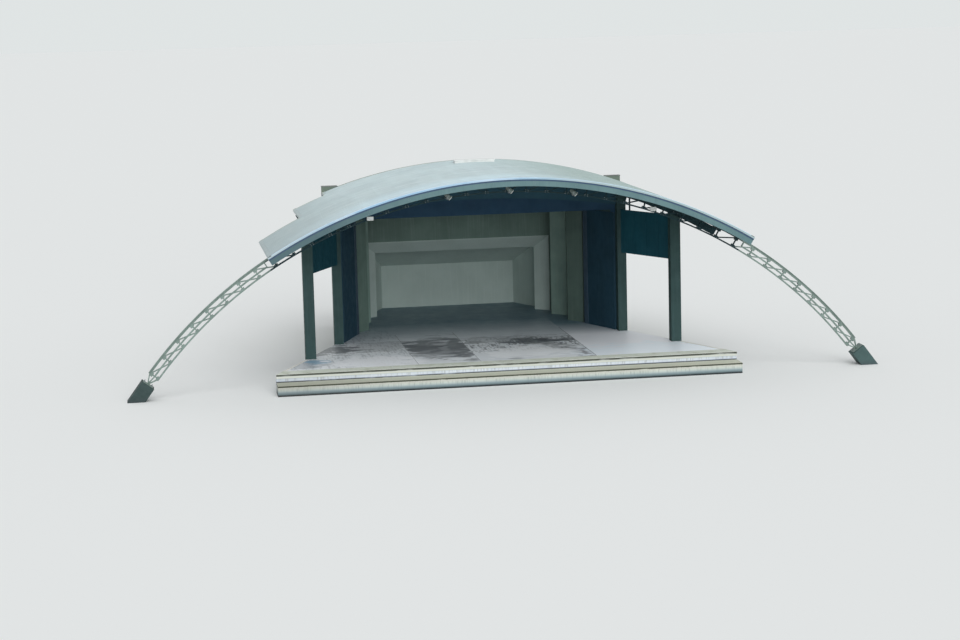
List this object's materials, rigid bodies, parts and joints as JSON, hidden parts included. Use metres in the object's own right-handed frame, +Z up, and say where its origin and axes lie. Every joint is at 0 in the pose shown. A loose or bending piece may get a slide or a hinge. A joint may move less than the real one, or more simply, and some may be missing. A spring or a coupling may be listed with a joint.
{
  "type": "outdoor stage",
  "caption": "Outdoor stage with a barrel roof carried by a lattice arch and posts, a splayed deck with a step, and a stage house with wings and a recessed portal.",
  "frame": {"origin": "centre of the bounding box in plan, at the lowest point, where the stage meets the water", "axes": "+X is the audience's right along the front of the stage, +Y runs away from the audience, +Z is up"},
  "size_m": [38.9726, 25.51, 10.8],
  "materials": {
    "step_beige": "weathered concrete, dark and wet at the foot",
    "riser_cream": "painted concrete",
    "deck_floor": "worn concrete with damp patches",
    "post_paint": "matt painted concrete",
    "lattice_paint": "semi-gloss paint",
    "border_teal": "matt painted board",
    "screen_green": "matt painted board",
    "roof_metal": "painted sheet with faint streaks",
    "fascia_paint": "semi-gloss paint",
    "footing_concrete": "damp concrete",
    "house_render": "weathered render",
    "house_roofing": "rough roofing",
    "flat_navy": "matt painted board",
    "wall_olive": "matt paint with streaks",
    "portal_grey": "matt paint",
    "recess_grey": "matt paint",
    "trim_white": "semi-gloss paint"
  },
  "bodies": {
    "root": {"annex_roof": "house_roofing", "annex_walls": "house_render", "arch_footings": "footing_concrete", "arch_leg_left": "lattice_paint", "arch_leg_right": "lattice_paint", "arch_middle": "lattice_paint", "arch_shoulder_left": "lattice_paint", "arch_shoulder_right": "lattice_paint", "back_wing_panels": "wall_olive", "backdrop_head": "wall_olive", "backdrop_left": "wall_olive", "backdrop_right": "wall_olive", "border_panel": "border_teal", "deck_piers": "riser_cream", "deck_riser": "riser_cream", "deck_side_walls": "riser_cream", "front_post_left": "post_paint", "front_post_right": "post_paint", "front_rib": "lattice_paint", "front_wing_panels": "wall_olive", "house_floor": "deck_floor", "house_front_wall_left": "house_render", "house_front_wall_right": "house_render", "house_lintel": "flat_navy", "house_roof": "house_roofing", "house_side_walls": "house_render", "mid_post_left": "post_paint", "mid_post_right": "post_paint", "mid_rib": "lattice_paint", "portal_lining": "portal_grey", "rear_gable": "house_render", "recess_back_wall": "recess_grey", "recess_lining": "recess_grey", "ridge_box": "trim_white", "roof_fascia": "fascia_paint", "roof_purlins": "lattice_paint", "roof_skin": "roof_metal", "screen_struts": "lattice_paint", "side_screens": "screen_green", "stage_deck": "deck_floor", "stage_lights": "trim_white", "step_riser": "step_beige", "step_tread": "step_beige", "threshold_wall": "deck_floor", "wing_flats": "flat_navy"}
  },
  "joints": []
}
